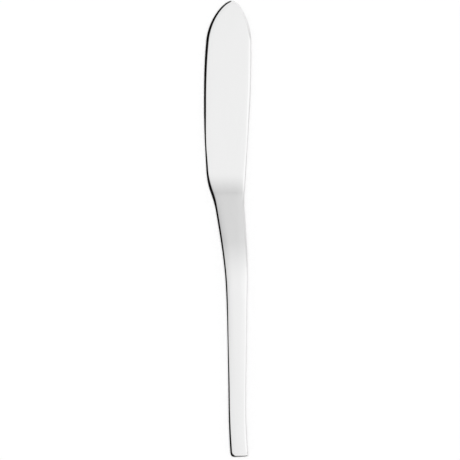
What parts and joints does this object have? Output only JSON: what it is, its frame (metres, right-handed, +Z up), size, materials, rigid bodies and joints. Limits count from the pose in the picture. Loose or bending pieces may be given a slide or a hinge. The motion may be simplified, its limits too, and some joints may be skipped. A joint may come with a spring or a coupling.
{
  "type": "fish knife",
  "caption": "Slim table fish knife with a broad, flat, blunt-edged blade and a rounded point, its tang brazed into a narrow solid handle that thickens behind the neck.",
  "frame": {"origin": "on the surface the knife rests on, under the middle of its bounding box", "axes": "+Y towards the tip, -X towards the cutting edge, +X towards the spine, +Z up out of the upper face"},
  "size_m": [0.0214, 0.205, 0.0056],
  "materials": {
    "polished_steel": null,
    "silver_braze": "as flowed, hidden in the slot"
  },
  "bodies": {
    "root": {"blade": "polished_steel", "handle": "polished_steel", "tang_braze": "silver_braze"}
  },
  "joints": []
}
